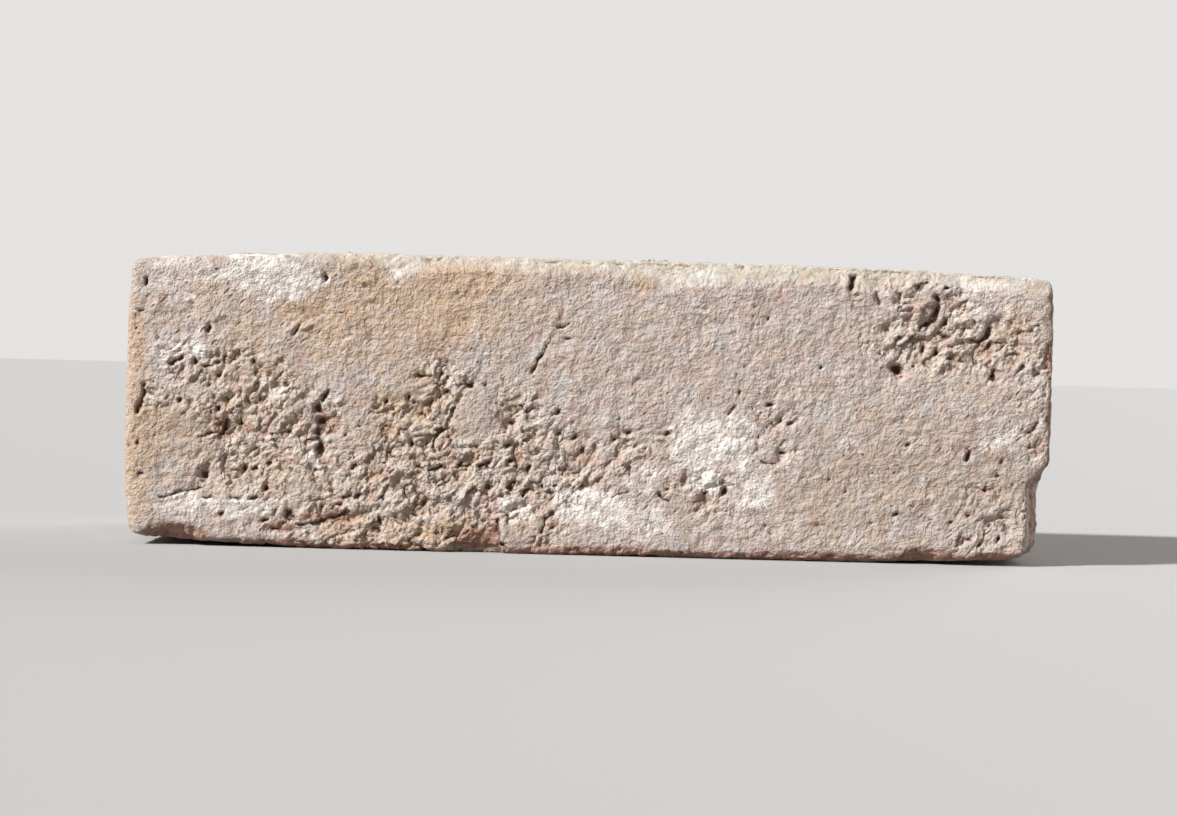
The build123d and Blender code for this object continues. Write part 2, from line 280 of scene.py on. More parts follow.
class BrickShape(bpy.types.PropertyGroup):
    """How the fired brick's surface is shaped."""

    grid: length_setting("Grid", "Spacing of the grid that the surface is shaped on", 0.95)
    triangles: IntProperty(
        name="Triangles", description="Triangles that the finished brick keeps",
        default=196000, min=20000)
    crumb_size: length_setting("Crumb Size", "Width of the larger crumbs in the crumbled patches", 2.2)
    crumb_depth: length_setting("Crumb Depth", "Depth of the valleys between the crumbs", 1.15)
    grain_height: length_setting("Grain Height", "Height of the sandy grain on the smooth clay", 0.25)
    swell_height: length_setting("Swell Height", "Height of the slow swells that moulding left", 0.25)
    arris_wear: length_setting("Arris Wear", "Depth of the wear along the arrises", 0.8)


class BrickClay(bpy.types.PropertyGroup):
    """Colours of the fired clay."""

    skin: colour_setting("Skin", "Sanded skin of the brick", (0.518, 0.43, 0.38))
    warm_skin: colour_setting(
        "Warm Skin", "Skin where the clay fired warmer", (0.512, 0.397, 0.322))
    cool_skin: colour_setting(
        "Cool Skin", "Paler, lilac mottles in the skin", (0.528, 0.48, 0.465))
    stain: colour_setting("Stain", "Ochre stain in the skin", (0.52, 0.345, 0.20))
    bloom: colour_setting("Bloom", "White lime bloom", (0.84, 0.79, 0.74))
    # Pale tops of the grain and of the crumbs: rubbed wear that also stands in for painted highlight
    rubbed_and_lit: colour_setting("Rubbed_and_Lit Tops", "Tops of the grain, rubbed pale", (0.66, 0.59, 0.54))
    rosy_skin: colour_setting("Rosy Skin", "Pinker mottles in the skin", (0.49, 0.357, 0.305))
    crumb: colour_setting("Crumb", "Redder crumbs among the paler ones", (0.44, 0.275, 0.21))
    pale_crumb: colour_setting(
        "Pale Crumb", "Creamier crumbs among the redder ones", (0.665, 0.565, 0.45))
    bare: colour_setting(
        "Bare Clay", "Redder clay where the skin has gone", (0.37, 0.19, 0.135))
    # The valley colour is painted shade: warmer, darker clay laid into the valleys between crumbs and into
    # the nicks
    valley: colour_setting(
        "Valley", "Warmer clay low down between the crumbs", (0.37, 0.23, 0.16))
    # The hollow colour is painted shade, laid dark into pits, creases, the gaps between crumbs and pinholes
    hollow_shade: colour_setting("Hollow", "Shade that sits in pits and creases", (0.09, 0.05, 0.035))
    # This colour darkens the upper arris as painted shade, and the dull patches as their own duller tone
    shade_and_grime: colour_setting("Shade_and_Grime", "How grime darkens the upper arris and dull patches", (0.82, 0.81, 0.79))
    cream: colour_setting(
        "Cream", "How the upper band of the face leans towards cream", (0.935, 1.0, 0.93))
    roughness: FloatProperty(
        name="Roughness", description="How matt the clay is",
        default=0.8, min=0, max=1, subtype="FACTOR")


# Where the lamps stand, seen from the brick, how soft the one behind it is, and the floor's radius
KEY_DIRECTION = (-0.62, -0.48, 0.62)
REAR_DIRECTION = (0.55, 0.80, 0.25)
REAR_SOFTNESS = math.radians(40)
FLOOR_RADIUS = 6.0


class BrickStage(bpy.types.PropertyGroup):
    """The camera, the lamps and the floor."""

    lens: FloatProperty(
        name="Lens", description="Focal length of the camera",
        default=100.0, min=20, unit="CAMERA")
    distance: length_setting("Distance", "Distance of the camera from the stretcher face", 740)
    elevation: angle_setting("Elevation", "Angle that the camera looks down at", 1)
    roll: angle_setting("Roll", "Angle that the camera leans sideways, as in the photograph", 1.5)
    key_strength: FloatProperty(
        name="Key Strength", description="Strength of the lamp from the upper left",
        default=5.7, min=0)
    key_softness: angle_setting("Key Softness", "Angle that the key lamp covers, seen from the brick", 7)
    rear_strength: FloatProperty(
        name="Rear Strength", description="Strength of the lamp behind the brick",
        default=2.0, min=0)
    sky_strength: FloatProperty(
        name="Sky Strength", description="Strength of the even light from all round",
        default=0.17, min=0)
    sky: colour_setting(
        "Sky", "Colour of the even light from all round", (1.0, 0.925, 0.86))
    floor: colour_setting("Floor", "Colour of the floor", (0.398, 0.392, 0.386))
    floor_bounce: colour_setting(
        "Floor Bounce", "Colour of the light that the floor gives back", (0.25, 0.234, 0.218))
    backdrop: colour_setting("Backdrop", "Colour behind the brick", (0.78, 0.77, 0.76))


def soft_step(low, high, value):
    """0 below low, 1 above high, and a smooth rise between them."""
    share = min(max((value - low) / (high - low), 0), 1)
    return share * share * (3 - 2 * share)


def face_place(co):
    """A point of the frame in millimetres along, behind and up the stretcher face."""
    return (co - BRICK_LOW) / MM


def cover(patches, along, up):
    """How strongly soft oval patches cover a place, from 0 to 1."""
    bare = 1
    for middle_along, middle_up, reach_along, reach_up, strength in patches:
        far = ((along - middle_along) / reach_along) ** 2 + ((up - middle_up) / reach_up) ** 2
        if far < 1.6:
            bare *= 1 - strength * (1 - soft_step(0.25, 1.6, far))
    return 1 - bare


def bare_cover(place):
    """How much of the skin has gone at a place, from 0 to 1."""
    whole = 1
    for along, behind, up, reach_along, reach_behind, reach_up, strength in BARE_CLAY:
        far = (((place.x - along) / reach_along) ** 2 + ((place.y - behind) / reach_behind) ** 2
               + ((place.z - up) / reach_up) ** 2)
        if far < 1.3:
            whole *= 1 - strength * (1 - soft_step(0.4, 1.3, far))
    return 1 - whole


def line_reach(line, margin):
    """Lowest and highest corner of a line's box, widened by a margin."""
    alongs = [point[0] for point in line]
    ups = [point[1] for point in line]
    return min(alongs) - margin, max(alongs) + margin, min(ups) - margin, max(ups) + margin


def line_offset(line, along, up):
    """Distance from a line, its side, 1 on the right and -1 on the left, and how far past an end."""
    nearest = (math.inf, 1, 0)
    for number, ((start_along, start_up), (end_along, end_up)) in enumerate(zip(line, line[1:])):
        run_along = end_along - start_along
        run_up = end_up - start_up
        run = math.hypot(run_along, run_up)
        to_along = along - start_along
        to_up = up - start_up
        travel = (to_along * run_along + to_up * run_up) / run
        held = min(max(travel, 0), run)
        distance = math.hypot(to_along - held * run_along / run, to_up - held * run_up / run)
        side = 1 if to_along * run_up - to_up * run_along > 0 else -1
        is_end = number == 0 if travel < 0 else number == len(line) - 2
        nearest = min(nearest, (distance, side, abs(travel - held) if is_end else 0))
    return nearest


def line_height(line, along):
    """Height of a line that runs from left to right, at a place along it."""
    for (start_along, start_up), (end_along, end_up) in zip(line, line[1:]):
        if along < end_along:
            share = max(0, (along - start_along) / (end_along - start_along))
            return start_up + share * (end_up - start_up)
    return line[-1][1]


def crumbs(place, size):
    """Round crumbs of many sizes packed together: 1 on top of the largest, 0 between them."""
    spot = place / size + noise_vector(place / (1.5 * size)) * 0.4
    distances, points = voronoi(spot)
    top = 0
    for distance, point in zip(distances, points):
        radius = 0.62 + 0.3 * cell(point * 3.7)
        if distance < radius:
            top = max(top, radius**2 - distance**2)
    return math.sqrt(top) / 0.92


def groove(distance, width):
    """Cross section of a crease: 1 at its bottom, 0 beside it."""
    return math.exp(-(distance / width) ** 2)


def lips(distance, width):
    """Cross section of the lips at the sides of a crease: 1 on their tops."""
    return math.exp(-(distance / width - 2.2) ** 2)


class FaceRelief:
    """The relief of the stretcher face, with the boxes of its lines worked out once."""

    def __init__(self):
        self.creases = [(line_reach(line, 4 * width), width, depth, line)
                        for width, depth, line in CREASES]
        self.folds = [(line_reach(line, 1.5 * reach), drop, reach, line)
                      for drop, reach, line in FOLDS]

    def sunk(self, place):
        """Depth of the pits and creases at a place, below 0 on lips, and how strongly painted shade darkens
        them.
        """
        ragged = (noise_vector(place / 0.9) * 0.45 + noise_vector(place / 1.9) * 0.7
                  + noise_vector(place / 5) * 0.5)
        along = place.x + ragged.x
        up = place.z + ragged.z
        behind = 0 if inside_face(place) else place.y
        uneven = 1 + 1.1 * noise(place / 2)
        broken = 0.4 + (1 - crumbs(place, 1.9))
        deepest = 0
        deepest_shade = 0
        lip = 0
        for (low_along, high_along, low_up, high_up), width, depth, line in self.creases:
            if low_along < along < high_along and low_up < up < high_up:
                distance = math.hypot(line_offset(line, along, up)[0], 0.8 * behind)
                low = broken * groove(distance, width * uneven)
                deepest = max(deepest, depth * low)
                # Painted shade in the creases, stronger where they are deeper and more broken
                crease_shade = min(1, 0.45 + depth) * (0.55 + 0.5 * broken)
                deepest_shade = max(deepest_shade, crease_shade * groove(distance, width * uneven))
                lip = max(lip, 0.13 * depth * lips(distance, width))
        for pit_along, pit_up, radius, depth in PITS:
            to_along = along - pit_along
            to_up = up - pit_up
            if abs(to_along) < 2.5 * radius and abs(to_up) < 2.5 * radius:
                # Each pit is an oval that leans to the right by its own amount
                lean = 0.8 + 0.7 * math.sin(7 * pit_along + 3 * pit_up)
                length = (to_along * math.cos(lean) + to_up * math.sin(lean)) / 1.4
                breadth = (to_up * math.cos(lean) - to_along * math.sin(lean)) / 0.75
                distance = math.hypot(length, breadth, behind)
                low = groove(distance, 0.7 * radius)
                deepest = max(deepest, 1.3 * depth * broken * low)
                # Painted shade in the pits
                deepest_shade = max(deepest_shade, low * (0.75 + 0.4 * broken))
        return deepest - lip, deepest_shade

    def proud(self, place):
        """Height of the lumps at a place."""
        ragged = noise_vector(place / 1.6) * 0.6
        along = place.x + ragged.x
        up = place.z + ragged.z
        height = 0
        for lump_along, lump_up, radius, lump_height in LUMPS:
            if abs(along - lump_along) < radius and abs(up - lump_up) < radius:
                far = math.dist((along, up), (lump_along, lump_up)) / radius
                height = max(height, lump_height * (1 - soft_step(0.3, 1, far)))
        return height

    def folded(self, place):
        """How far folds in the clay lower the face at a place."""
        ragged = noise_vector(place / 2.4) * 0.6
        along = place.x + ragged.x
        up = place.z + ragged.z
        drop = 0
        for (low_along, high_along, low_up, high_up), fold_drop, reach, line in self.folds:
            if low_along < along < high_along and low_up < up < high_up:
                distance, side, past_end = line_offset(line, along, up)
                if side > 0:
                    wall = soft_step(0, 0.8, distance) * (1 - soft_step(0, 2.5, past_end))
                    drop += fold_drop * wall * (1 - soft_step(0.15 * reach, reach, distance))
        return drop

    def topped(self, place):
        """How far the face leans back above the ragged line along its upper arris."""
        ragged = noise_vector(place / 3) * 0.8
        line_up = line_height(UPPER_BAND, place.x + ragged.x) + ragged.z
        return UPPER_LEAN * max(0, place.z - line_up) / (BRICK_TOP - line_up)


def copy_cad_body(node):
    """A new object with a merged copy of a CAD node's mesh."""
    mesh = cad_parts[node].data.copy()
    mesh.materials.clear()
    body = bmesh.new()
    body.from_mesh(mesh)
    bmesh.ops.remove_doubles(body, verts=body.verts, dist=0.001 * MM)
    body.to_mesh(mesh)
    body.free()
    piece = bpy.data.objects.new("fired_brick", mesh)
    bpy.context.scene.collection.objects.link(piece)
    return piece


def apply_modifiers(piece):
    """Give a piece the mesh that its modifiers make, and take them off it."""
    graph = bpy.context.evaluated_depsgraph_get()
    shaped = bpy.data.meshes.new_from_object(piece.evaluated_get(graph))
    rough = piece.data
    piece.modifiers.clear()
    piece.data = shaped
    bpy.data.meshes.remove(rough)


def remesh(piece, grid):
    """Rebuild a piece's surface as an even grid of small faces."""
    modifier = piece.modifiers.new("Even Grid", "REMESH")
    modifier.mode = "VOXEL"
    modifier.voxel_size = grid
    modifier.use_smooth_shade = True
    apply_modifiers(piece)


def refine_face(body):
    """Divide the grid on the stretcher face and just behind it."""
    edges = [edge for edge in body.edges
             if all(face_place(vert.co).y < FINE_GRID_DEPTH for vert in edge.verts)]
    bmesh.ops.subdivide_edges(body, edges=edges, cuts=2, use_grid_fill=True)
    body.normal_update()


def thin_out(piece, triangles):
    """Join faces where the surface is plainest until this many triangles are left."""
    triangle_count = sum(len(face.vertices) - 2 for face in piece.data.polygons)
    modifier = piece.modifiers.new("Fewer Faces", "DECIMATE")
    modifier.ratio = min(1, triangles / triangle_count)
    modifier.use_collapse_triangulate = True
    apply_modifiers(piece)


def inside_face(place):
    """Whether a place lies on the inner part of the stretcher face."""
    return (place.y < FINE_GRID_DEPTH and INNER_ALONG[0] < place.x < INNER_ALONG[1]
            and INNER_UP[0] < place.z < INNER_UP[1])


def arris_distances(body):
    """Distance in millimetres of each vertex from the nearest rounded arris or corner."""
    rounded = [vert.co for vert in body.verts
               if max(map(abs, vert.normal)) < FLAT_NORMAL and not inside_face(face_place(vert.co))]
    tree = kdtree.KDTree(len(rounded))
    for number, co in enumerate(rounded):
        tree.insert(co, number)
    tree.balance()
    return [tree.find(vert.co)[2] / MM for vert in body.verts]


def crumbled_share(place, facing, arris):
    """How crumbled the clay is at a place, this far from an arris, from 0 to 1."""
    wander = noise_vector(place / 6) * 3.2
    along = place.x + wander.x
    up = place.z + wander.z
    share = 0
    if facing > 0:
        share = facing * cover(CRUMBLED, along, up) * (1 - cover(SMOOTH, along, up))
    if facing < 1:
        patch = noise(place / 38 + Vector((7.3, 1.9, 4.2))) + 0.5 * noise(place / 11)
        patch += 0.3 * noise(place / 5) + 0.25 * (1 - soft_step(0, 9, arris))
        share += (1 - facing) * 0.75 * soft_step(0.3, 0.75, patch)
    return min(max(share + 0.4 * noise(place / 3.8), 0), 1)


def crinkles(place):
    """Winding creases between bulges a few millimetres wide: 1 at their bottom, 0 beside them."""
    field = noise(place / 4.4 + noise_vector(place / 2.2) * 0.3)
    return max(0, 1 - abs(field) / 0.08) ** 1.5


def flakes(place, size):
    """Flat flakes about this wide with steep sides: 0 on their tops, 1 on the ground between them."""
    field = noise(place / size + noise_vector(place / (0.6 * size)) * 0.25)
    return soft_step(-0.07, 0.07, field)


def chips(place, size):
    """How far chips about this wide are sunk, and the narrow gaps between them, from 0 to 1."""
    spot = place / size + noise_vector(place / (1.5 * size)) * 0.3
    distances, points = voronoi(spot)
    middle = points[0]
    tilt = cell_vector(middle * 7.3) - Vector((0.5, 0.5, 0.5))
    sunk = 0.5 + 0.5 * cell(middle * 3.7) + 1.2 * tilt.dot(spot - middle)
    return sunk, 1 - soft_step(0.02, 0.25, distances[1] - distances[0])


def torn_depth(place, crumbled, crumb_size):
    """Depth of the valleys between crumbs, where 1 is a full valley, and their narrow gaps."""
    torn = soft_step(0.22, 0.7, crumbled)
    creased = soft_step(0.1, 0.4, crumbled)
    depth = 0
    gap = 0
    place = place - CRUMB_LEAN * (CRUMB_STRETCH * place.dot(CRUMB_LEAN))
    if creased > 0:
        depth += creased * 0.4 * crinkles(place)
    if torn > 0:
        broad = 0.35 * flakes(place + Vector((60, 0, 0)), crumb_size * 1.4)
        large_chip, large_gap = chips(place + Vector((20, 0, 0)), crumb_size)
        small_chip, small_gap = chips(place + Vector((30, 0, 0)), crumb_size * 0.55)
        round_crumbs = 0.3 * (0.6 - crumbs(place, crumb_size))
        depth += torn * (broad + 0.45 * large_chip + 0.18 * small_chip + round_crumbs - 0.52)
        open_share = soft_step(-0.05, 0.15, noise(place / 2.3 + Vector((40, 0, 0))))
        gap = torn * large_gap * large_chip * open_share
        depth += 0.6 * gap + 0.05 * torn * small_gap
    return depth, gap


def skin_marks(place, facing, leaned):
    """How dull and shaded, nicked, bloomed and stained the skin is at a place, each from 0 to 1; the shade
    is painted on the upper arris.
    """
    wander = noise_vector(place / 4) * 2.2 + noise_vector(place / 1.4)
    along = place.x + wander.x
    up = place.z + wander.z
    # Painted shade along the upper arris, fading behind it
    upper_arris = 0.45 * soft_step(*ARRIS_SHADE_UP, place.z + 1.5 * min(leaned, 1))
    upper_arris *= 1 - soft_step(*ARRIS_SHADE_BEHIND, place.y)
    other_bloom = 0.5 * soft_step(0.2, 0.6, noise(place / 19 + Vector((2.5, 8.1, 0))))
    other_stain = 0.7 * soft_step(0.05, 0.5, noise(place / 33 + Vector((9.5, 3.1, 5))))
    patchy = 1 + 1.1 * noise(place / 3) + 0.9 * noise(place / 1.3)
    bloom = facing * cover(BLOOMS, along, up) + (1 - facing) * other_bloom
    stain = cover(STAINS, along, up) * (1 - 0.6 * soft_step(0.1, 0.8, leaned))
    return {
        "shaded_and_grimy": min(1, upper_arris + facing * cover(DULL, along, up)),
        "nicked": facing * cover(NICKED, along, up) + 0.5 * (1 - facing),
        "bloom": min(1, bloom * max(0, patchy) + 0.3 * soft_step(0.2, 1, leaned)),
        "stain": facing * stain + (1 - facing) * other_stain,
    }


def carve_brick(piece, shape):
    """Move the vertices of a brick to its fired and worn shape, and note what its finish needs."""
    seed_set(NOISE_SEED)
    face_relief = FaceRelief()
    crumb_size = shape.crumb_size / MM
    crumb_depth = shape.crumb_depth / MM
    grain_height = shape.grain_height / MM
    swell_height = shape.swell_height / MM
    arris_wear = shape.arris_wear / MM
    body = bmesh.new()
    body.from_mesh(piece.data)
    refine_face(body)
    layers = {name: body.verts.layers.float.new(name) for name in SKIN_LAYERS}
    moves = []
    for vert, arris in zip(body.verts, arris_distances(body)):
        place = face_place(vert.co)
        facing = 1 - soft_step(FACE_RELIEF_START, FACE_RELIEF_END, place.y)
        furrow = place.y if inside_face(place) else 0
        proud = face_relief.proud(place) if facing > 0 else 0
        torn_open = min(0.6, max(0, furrow - 0.3 - 0.6 * proud))
        bare = bare_cover(place)
        crumbled = max(crumbled_share(place, facing, arris), torn_open, 0.5 * bare)

        ribs = 0.25 * noise(Vector((place.x / 13, place.y / 13, place.z / 1.2)))
        grain = 0.95 * noise(place / 1.2) + 1.25 * noise(place / 2.7) + ribs
        grain *= (0.4 + 0.6 * soft_step(0.5, 3, arris)) * (1 + 0.9 * noise(place / 12))
        swell = noise(place / 26) + 1.5 * noise(place / 7.5)
        height = swell_height * swell + grain_height * grain

        # The crumbs are larger at the right of the stretcher face
        crumb_place = place / 1.1 if facing > 0 and place.x > RIGHT_CRUMBS else place
        valley, gap = torn_depth(crumb_place, crumbled, crumb_size)
        valley *= crumb_depth
        sunk = 0
        crevice_shade = 0
        leaned = 0
        if facing > 0:
            sunk, crevice_shade = face_relief.sunk(place)
            sunk = facing * (sunk - proud)
            leaned = facing * face_relief.topped(place)
            height -= facing * face_relief.folded(place)

        # Crumbs are left here and there in the furrows, below the depth of the dishes
        deep = max(0, furrow - DISH_DEPTH - proud)
        crumb_fill = 0.75 * deep * soft_step(-0.03, 0.15, noise(place / 1.7))
        crumb_fill *= 1 - min(1, crevice_shade)
        height += crumb_fill
        deep -= crumb_fill

        worn = 0
        if arris < WEAR_REACH:
            ragged = 0.75 * noise(place / 7.5) + 0.55 * noise(place / 2.3) + 0.12
            worn = arris_wear * max(0, ragged) * (1 - arris / WEAR_REACH) ** 1.5
        height -= valley + sunk + worn

        # The inner part of the face moves straight in and out, and is dragged about a little. The
        # upper band is pushed back to its slope.
        inner = facing * soft_step(*FACE_MOVES, arris)
        drag = noise_vector(place / 0.9) * 0.12 + noise_vector(place / 1.9) * 0.3
        drag = (drag + noise_vector(place / 5) * 0.5) * inner
        drag.y = max(0, leaned - place.y)
        moves.append((vert.normal.lerp(FACE_OUT, inner) * height + drag) * MM)
        vert[layers["crumbled"]] = crumbled
        vert[layers["sandy"]] = 1 - 0.6 * soft_step(0, 0.6, leaned)
        # Painted shade: the depth of the valleys, pits and furrows, which lays the warmer valley colour
        # into them
        vert[layers["hollow_shade"]] = min(1, max(0, 0.7 * valley + 0.5 * sunk + 0.5 * deep))
        # Painted shade: the dark of the pits and creases, the deep furrows and the gaps between chips
        vert[layers["crevice_shade"]] = min(1.5, max(facing * crevice_shade, 1.1 * deep, 0.7 * gap))
        vert[layers["bare"]] = min(1, bare + soft_step(0.3, 0.7, worn))
        for name, share in skin_marks(place, facing, leaned).items():
            vert[layers[name]] = share
    for vert, move in zip(body.verts, moves):
        vert.co += move
        vert.co.z = max(vert.co.z, BRICK_LOW.z)
    body.to_mesh(piece.data)
    body.free()


class ClayNodes:
    """Adds the nodes of a clay material and joins them up."""

    def __init__(self, name):
        self.material = bpy.data.materials.new(name)
        self.material.use_nodes = True
        self.tree = self.material.node_tree
        self.tree.nodes.clear()
        self.object_place = self.add("ShaderNodeTexCoord").outputs["Object"]

    def add(self, kind, **links):
        """A node with some of its inputs linked or set, named with _ for each space."""
        node = self.tree.nodes.new(kind)
        for name, value in links.items():
            self.join(value, node.inputs[name.replace("_", " ")])
        return node

    def join(self, value, socket):
        """Link an output to a socket, or set the socket to a value."""
        if isinstance(value, bpy.types.NodeSocket):
            self.tree.links.new(value, socket)
        else:
            socket.default_value = value

    def attribute(self, name):
        """A value that the mesh holds for each vertex."""
        node = self.add("ShaderNodeAttribute")
        node.attribute_name = name
        return node.outputs["Fac"]

    def noise(self, size, detail=4, roughness=0.6, distortion=0):
        """Noise with lumps about this many millimetres wide, from 0 to 1."""
        node = self.add("ShaderNodeTexNoise", Vector=self.object_place, Scale=1 / (size * MM),
                        Detail=detail, Roughness=roughness, Distortion=distortion)
        return node.outputs["Fac"]

    def wobbled_place(self, wobble, size):
        """The place on the object, moved about by noise by up to this many millimetres."""
        drift = self.add("ShaderNodeTexNoise", Vector=self.object_place, Scale=1 / (size * MM), Detail=2)
        moved = self.add("ShaderNodeVectorMath", Vector=drift.outputs["Color"])
        moved.operation = "MULTIPLY_ADD"
        moved.inputs[1].default_value = (2 * wobble * MM,) * 3
        self.join(self.object_place, moved.inputs[2])
        return moved.outputs[0]

    def cells(self, size, wobble=0):
        """A pattern of cells this many millimetres wide."""
        place = self.wobbled_place(wobble, 2 * size) if wobble else self.object_place
        return self.add("ShaderNodeTexVoronoi", Vector=place, Scale=1 / (size * MM))

    def dots(self, size, wobble=0):
        """Distance from the middle of the nearest cell, where 1 is a cell's width."""
        return self.cells(size, wobble).outputs["Distance"]

    def nicks(self, size, stretch):
        """Distance from the middle of cells that lean as the crumbs do, where 1 is a cell's width."""
        leaning = self.add("ShaderNodeMapping", Vector=self.object_place,
                           Rotation=(0, math.radians(-45), 0), Scale=(stretch, 1, 1))
        leaning.vector_type = "TEXTURE"
        node = self.add("ShaderNodeTexVoronoi", Vector=leaning.outputs[0], Scale=1 / (size * MM))
        return node.outputs["Distance"]

    def cell_tones(self, size):
        """Two random values from 0 to 1 for each cell."""
        tones = self.add("ShaderNodeSeparateColor", Color=self.cells(size, 0.6).outputs["Color"])
        return tones.outputs[0], tones.outputs[1]

    def span(self, value, low, high, start=0, end=1):
        """A value carried from one range to another and held inside it."""
        node = self.add("ShaderNodeMapRange", Value=value, From_Min=low, From_Max=high,
                        To_Min=start, To_Max=end)
        return node.outputs[0]

    def maths(self, operation, first, second):
        """Two values joined by an operation."""
        node = self.add("ShaderNodeMath")
        node.operation = operation
        self.join(first, node.inputs[0])
        self.join(second, node.inputs[1])
        return node.outputs[0]

    def times(self, first, second):
        """The product of two values."""
        return self.maths("MULTIPLY", first, second)

    def plus(self, first, second):
        """The sum of two values."""
        return self.maths("ADD", first, second)

    def minus(self, first, second):
        """The first value less the second."""
        return self.maths("SUBTRACT", first, second)

    def blend(self, share, first, second, mode="MIX"):
        """Two colours mixed by a share of the second."""
        node = self.add("ShaderNodeMix")
        node.data_type = "RGBA"
        node.blend_type = mode
        self.join(share, node.inputs[0])
        self.join(first, node.inputs[6])
        self.join(second, node.inputs[7])
        return node.outputs[2]


def opaque(colour):
    """A colour property as a socket's value."""
    return (*colour, 1)


def clay_material(clay):
    """The sanded, stained and bloomed skin of the fired brick, with painted shade in its hollows and on its
    upper arris, and pale tops that double as painted highlight.
    """
    nodes = ClayNodes("fired_clay")
    crumbled, hollow_shade, crevice_shade, bloom, stain, bare, sandy, shaded_and_grimy, nicked = map(nodes.attribute, SKIN_LAYERS)

    # Warmer and cooler clay in mottles, then redder and creamier crumbs
    drift = nodes.span(nodes.noise(12, detail=3, roughness=0.5), 0.36, 0.64)
    colour = nodes.blend(drift, opaque(clay.skin), opaque(clay.warm_skin))
    cool = nodes.span(nodes.noise(4.6, detail=1.2, roughness=0.5), 0.47, 0.64, 0, 0.7)
    colour = nodes.blend(cool, colour, opaque(clay.cool_skin))
    rosy = nodes.span(nodes.noise(3.4, detail=1.2, roughness=0.5, distortion=0.3), 0.5, 0.66, 0, 0.8)
    colour = nodes.blend(rosy, colour, opaque(clay.rosy_skin))
    red_crumb, pale_crumb = nodes.cell_tones(2.4)
    earthy = nodes.noise(5, detail=1.5, roughness=0.5)
    loose = nodes.span(crumbled, 0.15, 0.6)
    red_crumb = nodes.plus(nodes.span(earthy, 0.5, 0.66, 0, 0.8), nodes.span(red_crumb, 0.6, 1, 0, 0.7))
    colour = nodes.blend(nodes.times(red_crumb, loose), colour, opaque(clay.crumb))
    pale_crumb = nodes.plus(nodes.span(earthy, 0.48, 0.34, 0, 0.8), nodes.span(pale_crumb, 0.55, 1, 0, 0.7))
    colour = nodes.blend(nodes.times(pale_crumb, loose), colour, opaque(clay.pale_crumb))
    # Pale tops of the crumbs, away from the hollows: rubbed wear and painted highlight
    lit_crumb_tops = nodes.times(nodes.span(hollow_shade, 0.35, 0, 0, 0.42), loose)
    colour = nodes.blend(lit_crumb_tops, colour, opaque(clay.rubbed_and_lit))

    # The upper band, less sandy and creamier
    colour = nodes.blend(nodes.span(sandy, 1, 0.5), colour, opaque(clay.cream), "MULTIPLY")

    # Light and dark grains of sand
    cloud = nodes.span(nodes.noise(5), 0.3, 0.7, 0.85, 1.13)
    cloud_colour = nodes.add("ShaderNodeCombineColor", Red=cloud, Green=cloud, Blue=cloud).outputs[0]
    colour = nodes.blend(1, colour, cloud_colour, "MULTIPLY")
    grain = nodes.span(nodes.noise(0.9, detail=3), 0.25, 0.75)
    grain_colour = nodes.blend(grain, (0.88, 0.86, 0.84, 1), (1.11, 1.13, 1.15, 1))
    colour = nodes.blend(1, colour, grain_colour, "MULTIPLY")

    # Stain, bare clay and bloom, each broken up by noise
    ragged = nodes.noise(2.4)
    stain_share = nodes.span(nodes.plus(stain, nodes.times(ragged, 1.3)), 0.75, 1.6, 0, 0.75)
    colour = nodes.blend(stain_share, colour, opaque(clay.stain))
    bare_share = nodes.span(nodes.plus(bare, nodes.times(ragged, 1.4)), 0.95, 1.45, 0, 0.85)
    colour = nodes.blend(bare_share, colour, opaque(clay.bare))
    powder = nodes.noise(1.6, detail=5, roughness=0.7)
    bloom_share = nodes.span(nodes.plus(bloom, nodes.times(powder, 2)), 1.2, 1.95, 0, 0.92)
    colour = nodes.blend(bloom_share, colour, opaque(clay.bloom))

    # Sand grains, a soft orange peel and crumbs finer than the mesh, in millimetres
    near = nodes.dots(1.5, wobble=0.5)
    nearer = nodes.dots(0.85, wobble=0.3)
    peel_noise = nodes.noise(1.15)
    peel = nodes.times(peel_noise, 1.2)
    fine = nodes.times(nodes.noise(0.4, detail=2), 0.13)
    height = nodes.times(nodes.plus(peel, fine), sandy)
    small = nodes.times(nodes.times(near, near), nodes.times(loose, 0.5))
    smaller = nodes.times(nodes.times(nearer, nearer), nodes.span(crumbled, 0, 0.5, 0.1, 0.28))
    height = nodes.minus(height, nodes.plus(small, smaller))

    # Paler tops where the grain is rubbed, which also stand in as painted highlight
    tops = nodes.span(nodes.minus(peel_noise, nodes.times(small, 0.5)), 0.42, 0.66, 0, 0.42)
    tops = nodes.times(tops, nodes.span(bare_share, 0, 1, 1, 0.3))
    colour = nodes.blend(tops, colour, opaque(clay.rubbed_and_lit))

    # Painted shade: a warmer colour in the valleys, and dark in pits, in the gaps between crumbs and in
    # pinholes
    colour = nodes.blend(nodes.span(hollow_shade, 0.1, 0.9, 0, 0.7), colour, opaque(clay.valley))
    # Painted shade in the narrow gaps between the bump's crumbs
    gaps = nodes.times(nodes.span(near, 0.6, 0.85), loose)
    crevice_shade = nodes.plus(crevice_shade, nodes.times(gaps, 0.2))
    crevice_shade = nodes.plus(crevice_shade, nodes.times(grain, 0.5))
    colour = nodes.blend(nodes.span(crevice_shade, 0.75, 0.98, 0, 0.88), colour, opaque(clay.hollow_shade))
    # Pinholes dent the bump and are darkened with painted shade
    pinholes = nodes.times(nodes.span(nodes.dots(3.6), 0.05, 0.12, 0.6, 0), sandy)
    colour = nodes.blend(pinholes, colour, opaque(clay.hollow_shade))
    height = nodes.minus(height, nodes.times(pinholes, 0.4))
